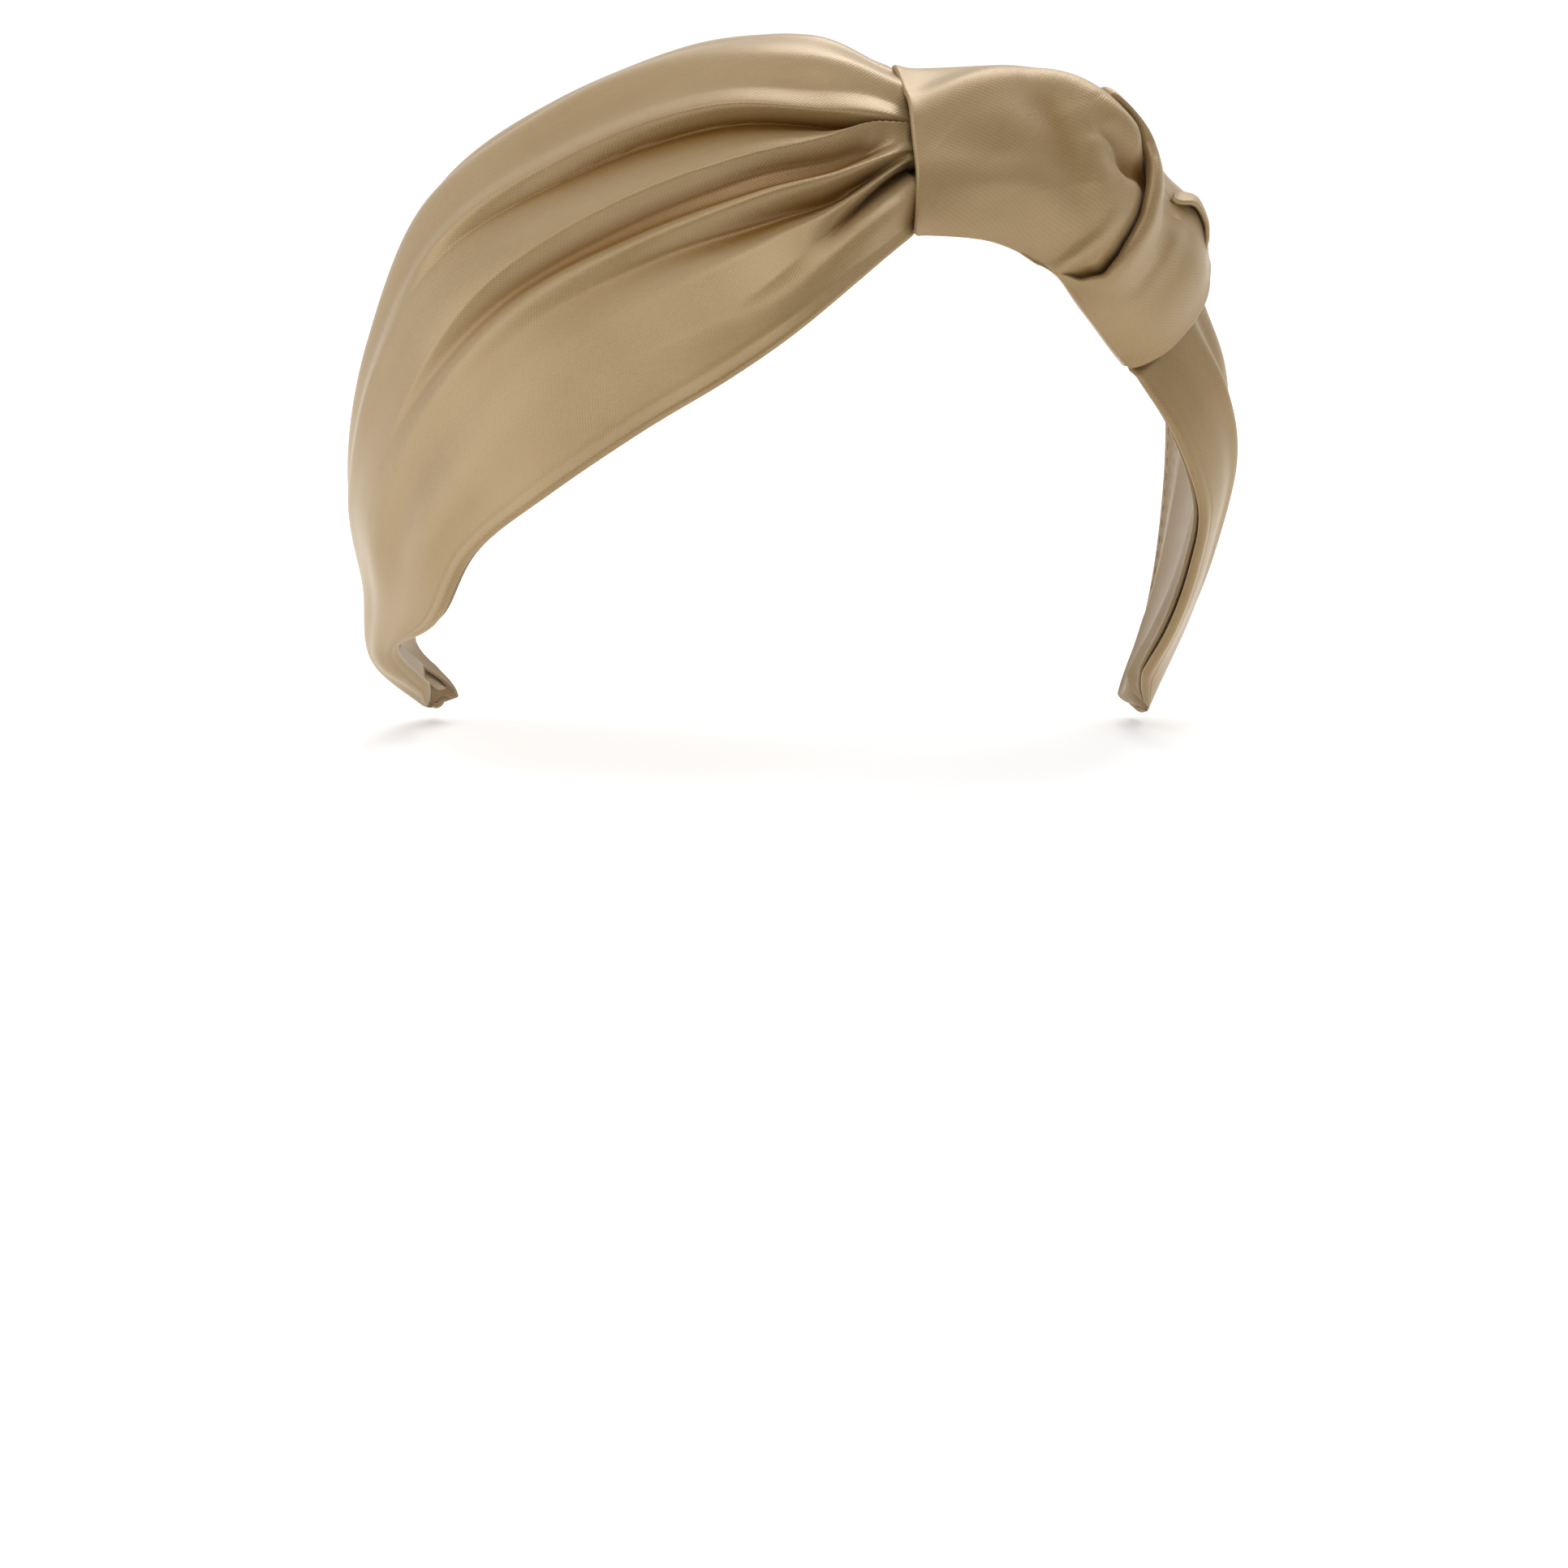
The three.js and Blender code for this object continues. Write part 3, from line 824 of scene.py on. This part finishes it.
def make_front_wrap():
    angle = turn_angles()
    share = np.linspace(0, 1, 230)[:, None]
    start = WRAP_START
    collar_at = round_line(angle, COLLAR_START, COLLAR_START_PASSES)
    end = collar_at + WRAP_UNDER_COLLAR
    t = start + share * (end - start)
    x, y = t * KNOT_LENGTH, round_knot(angle)
    from_start = x - start * KNOT_LENGTH
    under_collar = ease((t - collar_at + 0.072) / 0.062)
    at_front_edge = bump(y / 6.5)
    grow = -3.0 * under_collar - 1.2 * ease((t - collar_at) / 0.04)
    grow = grow * (1 - 0.75 * at_front_edge)
    for line, width, rise in FRONT_WRAP_STROKES:
        grow = grow + stroke(x, y, knot_line(*line), width, rise)
    grow = held_above(grow, -DEEPEST_CREASE, CREASE_EASING)
    grow = grow + 0.2 * ripple(x / 26, y / 22, 3) * (1 - under_collar) * off_seam(y)
    grow = grow + 0.18 * bump(from_start / 1.3)
    grow = grow - 1.1 * bump(from_start / 5) * ease((np.degrees(angle) - 85) / 30) * (y > 0)
    outer = knot_point(t, angle, grow, WRAP_UNDERSIDE - 1.7 * under_collar)
    grid = np.concatenate([rolled_edge(outer, radius=0.6, depth=7.0), outer], axis=0)
    # Painted shade where the wrap sinks into its creases
    fold_shade = np.zeros(grid.shape[:2])
    fold_shade[-len(share) :] = np.clip((-0.8 - grow) / 3.0, 0, 1)
    return cloth_piece("knot_front_wrap_satin", grid, SATIN_THICK, outer_satin, True, fold_shade)


# Ridges and creases: a line of (share of the knot's length, degrees), a width and a rise
FRONT_WRAP_STROKES = [
    ([(0.26, 100), (0.307, 83), (0.347, 69), (0.393, 58), (0.435, 46), (0.47, 36)], 5.0, -2.8),
    ([(0.42, 70), (0.506, 47), (0.584, 32), (0.632, 20)], 4.0, 1.6),
    ([(0.04, 50), (0.17, 33), (0.3, 32), (0.45, 25), (0.56, 18)], 4.0, 0.9),
    ([(0.38, -8), (0.44, -9), (0.49, -2), (0.545, 8), (0.578, 14), (0.615, 24), (0.63, 36)], 1.9, 1.7),
    ([(0.52, -6), (0.6, 3), (0.65, 15), (0.68, 28)], 3.2, -1.6),
    ([(0.06, 66), (0.14, 55), (0.22, 46), (0.3, 44)], 4.5, -0.9),
    ([(0.0, 96), (0.15, 95), (0.32, 95), (0.46, 92), (0.56, 86)], 6.0, 2.0),
    ([(0.46, 86), (0.51, 81), (0.55, 80), (0.59, 76)], 2.6, 1.1),
    ([(0.47, 64), (0.505, 68), (0.54, 69), (0.58, 67)], 2.4, -2.0),
    ([(0.55, 57), (0.58, 62), (0.605, 67), (0.625, 74)], 3.0, -4.2),
]


def rolled_edge(outer, radius, depth, facing=1, sink=0.0):
    """Rows that turn the first edge of a closed grid under and run back inside it.

    The flap that runs back sinks by the share `sink` of its length.
    """
    out = normals(outer, closed=True)[0] * facing
    away = unit(outer[0] - outer[3])
    edge = outer[0]
    angle = np.linspace(math.pi, 0, 9)[:-1, None, None]
    turn = edge - out * (1 - np.cos(angle)) * radius + away * np.sin(angle) * radius
    steps = np.linspace(depth, 0, 8)[:-1, None, None]
    back = edge - out * (2 * radius + sink * steps) - away * steps
    return np.concatenate([back, turn], axis=0)


NOTCH = ([(0.69, 124), (0.71, 106), (0.735, 94), (0.76, 84), (0.78, 74)], 4.6, -2.6)
COLLAR_STROKES = [
    ([(0.79, 92), (0.83, 70), (0.86, 40), (0.86, 20)], 4.0, -0.9),
    ([(0.6, 112), (0.66, 98), (0.7, 86), (0.735, 70), (0.76, 50)], 3.4, -3.0),
    ([(0.92, 70), (0.93, 40), (0.9, 15)], 4.0, 0.6),
    ([(0.7, -12), (0.8, -14), (0.9, -12)], 6.0, 1.0),
    NOTCH,
]


def make_collar():
    angle = turn_angles()
    degrees = np.degrees(angle)
    start = round_line(angle, COLLAR_START, COLLAR_START_PASSES)
    foot_at = round_line(angle, COLLAR_FOOT, COLLAR_FOOT_PASSES)
    share = np.linspace(0, 1, 170)[:, None]
    t = start + share * (foot_at - start)
    x, y = t * KNOT_LENGTH, round_knot(angle)
    from_start = x - start * KNOT_LENGTH
    proud = ease((degrees - 4) / 30) * ease((200 - degrees) / 60)
    grow = proud * 1.9 * bump((from_start - 0.4) / 2.6)
    grow = grow - proud * 1.2 * bump((from_start - 5.4) / 2.2)
    for line, width, rise in COLLAR_STROKES:
        grow = grow + stroke(x, y, knot_line(*line), width, rise)
    grow = grow + 0.25 * ripple(x / 24, y / 20, 8) * off_seam(y)
    grow = held_above(grow, -1.5 - 1.1 * ease((degrees - 50) / 30), CREASE_EASING)
    grow = grow - 0.5 * ease((t - foot_at + 0.07) / 0.07)
    outer = knot_point(t, angle, grow, COLLAR_UNDERSIDE - 1.8 * bump(from_start / 8))
    lip = 0.55 + 0.95 * proud[0][:, None]
    roll = rolled_edge(outer, radius=lip, depth=3.5, sink=0.4)
    foot = rolled_edge(outer[::-1], radius=0.8, depth=4.5, facing=-1)[::-1]
    grid = np.concatenate([roll, outer, foot], axis=0)
    return cloth_piece("knot_collar_satin", grid, SATIN_THICK, outer_satin, closed=True)


def make_tail():
    """The folded end of the satin that stands up behind the collar."""
    share = np.linspace(0, 1, 90)[:, None]
    across = np.linspace(0, 1, 60)[None]
    t = TAIL_START + TAIL_SPAN * share
    reach = 8 + 52 * np.sin(math.pi * share) ** 0.55
    angle = np.radians(87 + 4 * np.sin(math.pi * share) + reach * across)
    lift = 1.1 * (1 - ease(across * 1.6)) * ease(share / 0.25) * ease((1 - share) / 0.35)
    line, width, fall = NOTCH
    sunk = stroke(t * KNOT_LENGTH, angle * KNOT_RADIUS, knot_line(*line), width, 0.75 * fall)
    tucked = 1.3 * (1 - ease(share / 0.35)) + 0.8 * (1 - ease((1 - share) / 0.15))
    outer = knot_point(t, angle, 0.5 + lift + sunk - tucked, COLLAR_UNDERSIDE)
    rolled = open_roll(outer, radius=0.5, depth=0.4 + 3.6 * np.sin(math.pi * share))
    grid = np.concatenate([rolled, outer], axis=1)
    return cloth_piece("knot_tail_satin", grid, SATIN_THICK, outer_satin)


def open_roll(outer, radius, depth):
    """Columns that turn the first side of an open grid under."""
    out = normals(outer)[:, 0]
    away = unit(outer[:, 0] - outer[:, 3])
    edge = outer[:, 0]
    angle = np.linspace(math.pi, 0, 9)[:-1, None]
    turn = edge[:, None] - out[:, None] * (1 - np.cos(angle)) * radius
    turn = turn + away[:, None] * np.sin(angle) * radius
    steps = (np.linspace(1, 0, 6)[:-1] * depth)[..., None]
    back = edge[:, None] - out[:, None] * 2 * radius - away[:, None] * steps
    return np.concatenate([back, turn], axis=1)


# ------------------------------------------------------------
# Materials
# ------------------------------------------------------------
def new_material(name):
    material = bpy.data.materials.new(name)
    material.use_nodes = True
    tree = material.node_tree
    return material, tree, tree.nodes["Principled BSDF"]


def set_inputs(tree, node, inputs):
    """Links sockets to a node's inputs and sets the others to plain values."""
    for key, value in inputs.items():
        if isinstance(value, bpy.types.NodeSocket):
            tree.links.new(value, node.inputs[key])
        else:
            node.inputs[key].default_value = value


def add_node(tree, kind, inputs=None, **settings):
    node = tree.nodes.new(kind)
    for key, value in settings.items():
        setattr(node, key, value)
    set_inputs(tree, node, inputs or {})
    return node


def math_node(tree, operation, a, b=0.0):
    return add_node(tree, "ShaderNodeMath", {0: a, 1: b}, operation=operation).outputs[0]


def noise(tree, place, scale, detail=2.0):
    inputs = {"Vector": place, "Scale": scale, "Detail": detail}
    return add_node(tree, "ShaderNodeTexNoise", inputs).outputs[0]


def mix(tree, factor, first, second):
    """A colour between two others, each a socket or red, green and blue."""
    first, second = (
        colour if isinstance(colour, bpy.types.NodeSocket) else (*colour, 1)
        for colour in (first, second)
    )
    inputs = {"Factor": factor, 6: first, 7: second}
    return add_node(tree, "ShaderNodeMix", inputs, data_type="RGBA").outputs[2]


def bump_normal(tree, strength, distance, height):
    inputs = {"Strength": strength, "Distance": distance, "Height": height}
    return add_node(tree, "ShaderNodeBump", inputs).outputs[0]


# Satin: slubs drawn out along the cloth, in millimetres of its map, under broad uneven tone
SLUB_STRETCH, SLUB_SCALE, BROAD_SCALE = 0.3, 1.3, 0.04
SLUB_TONE, WEAVE_TONE, BROAD_TONE = 0.42, 0.2, 0.65
# The dark warm brown painted into folds as shade
PAINTED_FOLD_SHADE = (0.19, 0.082, 0.003)


def satin_material(name, light, deep, metallic=0.2, roughness=0.4):
    """Satin with a woven face and painted shade in its folds: darker and warmer where the mesh marks a
    point as lying deep in a fold.
    """
    material, tree, shader = new_material(name)
    place = add_node(tree, "ShaderNodeUVMap", uv_map="cloth")
    split = add_node(tree, "ShaderNodeSeparateXYZ", {0: place.outputs[0]})
    along, across = split.outputs[0], split.outputs[1]
    turn = 2 * math.pi / WEAVE_PITCH
    ends = math_node(tree, "SINE", math_node(tree, "MULTIPLY", across, turn))
    picks = math_node(tree, "SINE", math_node(tree, "MULTIPLY", along, turn))
    weave = math_node(tree, "MULTIPLY", ends, picks)
    drawn = {0: math_node(tree, "MULTIPLY", along, SLUB_STRETCH), 1: across}
    drawn = add_node(tree, "ShaderNodeCombineXYZ", drawn)
    slub = noise(tree, drawn.outputs[0], SLUB_SCALE, 4.0)
    broad = noise(tree, place.outputs[0], BROAD_SCALE)
    tone = math_node(tree, "MULTIPLY", slub, SLUB_TONE)
    tone = math_node(tree, "ADD", tone, math_node(tree, "MULTIPLY", weave, WEAVE_TONE))
    tone = math_node(tree, "ADD", tone, math_node(tree, "MULTIPLY", broad, BROAD_TONE))
    colour = mix(tree, tone, deep, light)
    # Painted shade: the colour is pulled towards the dark brown by how deep in a fold each point lies
    fold_shade = add_node(tree, "ShaderNodeAttribute", attribute_name="fold_shade")
    colour = mix(tree, fold_shade.outputs["Fac"], colour, PAINTED_FOLD_SHADE)
    relief = math_node(tree, "MULTIPLY", slub, 0.6)
    relief = math_node(tree, "ADD", relief, math_node(tree, "MULTIPLY", weave, 0.5))
    normal = bump_normal(tree, 0.3, 0.00008, relief)
    rough = math_node(tree, "MULTIPLY", slub, 0.12)
    rough = math_node(tree, "ADD", rough, roughness - 0.06)
    tangent = add_node(tree, "ShaderNodeTangent", direction_type="UV_MAP", uv_map="cloth")
    face = {
        "Base Color": colour,
        "Roughness": rough,
        "Normal": normal,
        "Tangent": tangent.outputs[0],
        "Metallic": metallic,
        "Anisotropic": 0.5,
        "IOR": 1.6,
        "Specular IOR Level": 0.7,
        "Specular Tint": (1.0, 0.93, 0.78, 1),
        "Sheen Weight": 0.24,
        "Sheen Roughness": 0.35,
        "Sheen Tint": (1.0, 0.88, 0.68, 1),
    }
    set_inputs(tree, shader, face)
    return material


def plastic_material():
    material, tree, shader = new_material("core_plastic")
    place = add_node(tree, "ShaderNodeTexCoord")
    grain = noise(tree, place.outputs["Object"], 900.0, 3.0)
    colour = mix(tree, grain, (0.38, 0.29, 0.17), (0.44, 0.34, 0.21))
    normal = bump_normal(tree, 0.2, 0.0001, grain)
    set_inputs(tree, shader, {"Base Color": colour, "Normal": normal, "Roughness": 0.45})
    return material


def foam_material():
    material, tree, shader = new_material("foam")
    place = add_node(tree, "ShaderNodeTexCoord")
    cells = {"Vector": place.outputs["Object"], "Scale": 1400.0}
    cells = add_node(tree, "ShaderNodeTexVoronoi", cells).outputs[0]
    colour = mix(tree, cells, (0.7, 0.66, 0.58), (0.86, 0.83, 0.77))
    normal = bump_normal(tree, 0.5, 0.0003, cells)
    set_inputs(tree, shader, {"Base Color": colour, "Normal": normal, "Roughness": 0.95})
    return material


def thread_material():
    material, tree, shader = new_material("sewing_thread")
    place = add_node(tree, "ShaderNodeTexCoord")
    twist = noise(tree, place.outputs["Object"], 5000.0)
    colour = mix(tree, twist, (0.42, 0.29, 0.16), (0.6, 0.45, 0.28))
    set_inputs(tree, shader, {"Base Color": colour, "Roughness": 0.55, "Sheen Weight": 0.3})
    return material


def floor_material():
    material, tree, shader = new_material("studio_floor")
    paint = {"Base Color": (0.93, 0.93, 0.93, 1), "Roughness": 0.9}
    set_inputs(tree, shader, paint | {"Emission Color": (1, 1, 1, 1), "Emission Strength": 0.2})
    return material


# ------------------------------------------------------------
# Studio
# ------------------------------------------------------------
CAMERA_PLACE = (0.0, -0.870, 0.0564)
CAMERA_PITCH = math.radians(12.3)
CAMERA_LENS = 105.6


def make_camera():
    data = bpy.data.cameras.new("camera")
    data.lens = CAMERA_LENS
    data.sensor_width = 36.0
    data.clip_start = 0.01
    data.clip_end = 50.0
    camera = bpy.data.objects.new("camera", data)
    camera.location = CAMERA_PLACE
    camera.rotation_euler = (math.pi / 2 - CAMERA_PITCH, 0, 0)
    bpy.context.scene.collection.objects.link(camera)
    bpy.context.scene.camera = camera


def area_light(name, place, target, size, power, colour=(1, 1, 1)):
    data = bpy.data.lights.new(name, "AREA")
    data.shape = "RECTANGLE"
    data.size, data.size_y = size
    data.energy = power
    data.color = colour
    lamp = bpy.data.objects.new(name, data)
    lamp.location = place
    aim = Vector(target) - Vector(place)
    lamp.rotation_euler = aim.to_track_quat("-Z", "Y").to_euler()
    bpy.context.scene.collection.objects.link(lamp)


def make_studio():
    floor_height = CAD_BOX[0][2] - 0.001
    bpy.ops.mesh.primitive_plane_add(size=2.6, location=(0, 0, floor_height))
    floor = bpy.context.object
    floor.name = "studio_floor"
    floor.data.materials.append(floor_material())
    bpy.context.scene.world = studio_sky()
    bpy.context.scene.view_settings.view_transform = "Standard"
    centre = (0, 0, -0.05)
    area_light("key_light", (-0.35, -0.35, 1.0), centre, (0.9, 0.6), 4)
    area_light("side_light", (-1.3, 0.1, 0.3), centre, (1.0, 0.8), 4)
    area_light("back_light", (0.3, 0.7, 0.8), centre, (0.8, 0.5), 6)


def studio_sky():
    """A white tent, bright behind and beside the band and dimmer in front of it."""
    world = bpy.data.worlds.new("studio")
    world.use_nodes = True
    tree = world.node_tree
    place = add_node(tree, "ShaderNodeTexCoord")
    split = add_node(tree, "ShaderNodeSeparateXYZ", {0: place.outputs["Generated"]})
    behind = math_node(tree, "MULTIPLY", split.outputs[1], 0.25)
    beside = math_node(tree, "MULTIPLY", math_node(tree, "ABSOLUTE", split.outputs[0]), 0.15)
    above = math_node(tree, "MULTIPLY", split.outputs[2], 0.3)
    behind = math_node(tree, "ADD", behind, 0.46)
    glow = math_node(tree, "ADD", behind, math_node(tree, "ADD", beside, above))
    below = math_node(tree, "MULTIPLY", math_node(tree, "LESS_THAN", split.outputs[2], 0.0), 1.05)
    glow = math_node(tree, "MAXIMUM", glow, below)
    tree.links.new(glow, tree.nodes["Background"].inputs[1])
    tree.nodes["Background"].inputs[0].default_value = (0.97, 0.98, 1.0, 1)
    return world


# ------------------------------------------------------------
# Assembly
# ------------------------------------------------------------
make_camera()
make_studio()

outer_satin = satin_material("outer_satin", (0.36, 0.245, 0.11), (0.255, 0.15, 0.053))
# The lining and the gathered filling take the outer satin darkened: painted shade for the band's
# inside, which lies towards the head
lining_satin = satin_material("lining_satin", (0.28, 0.185, 0.082), (0.19, 0.11, 0.042))
core_plastic = plastic_material()
foam = foam_material()
thread = thread_material()

wing_cover, wing_lining, wing_pad, wing_stitches = make_wing()
leg_cover, leg_lining, leg_pad, leg_stitches = make_leg()
front_wrap = make_front_wrap()
collar = make_collar()
tail = make_tail()
filling = make_filling()

for node in ("wing_core", "knot_core", "leg_core"):
    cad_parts[node].data.materials.clear()
    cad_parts[node].data.materials.append(core_plastic)

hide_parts("wing_cover")
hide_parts("wing_lining")
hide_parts("wing_wadding")
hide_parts("leg_cover")
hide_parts("leg_lining")
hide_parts("leg_wadding")
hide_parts("knot_front_wrap")
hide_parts("knot_collar_wrap")
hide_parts("knot_tail_fold")
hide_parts("knot_filling")

for piece in (wing_cover, wing_lining, wing_pad, wing_stitches):
    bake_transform(piece)
for piece in (leg_cover, leg_lining, leg_pad, leg_stitches):
    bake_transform(piece)
for piece in (front_wrap, collar, tail, filling):
    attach(piece, "knot")
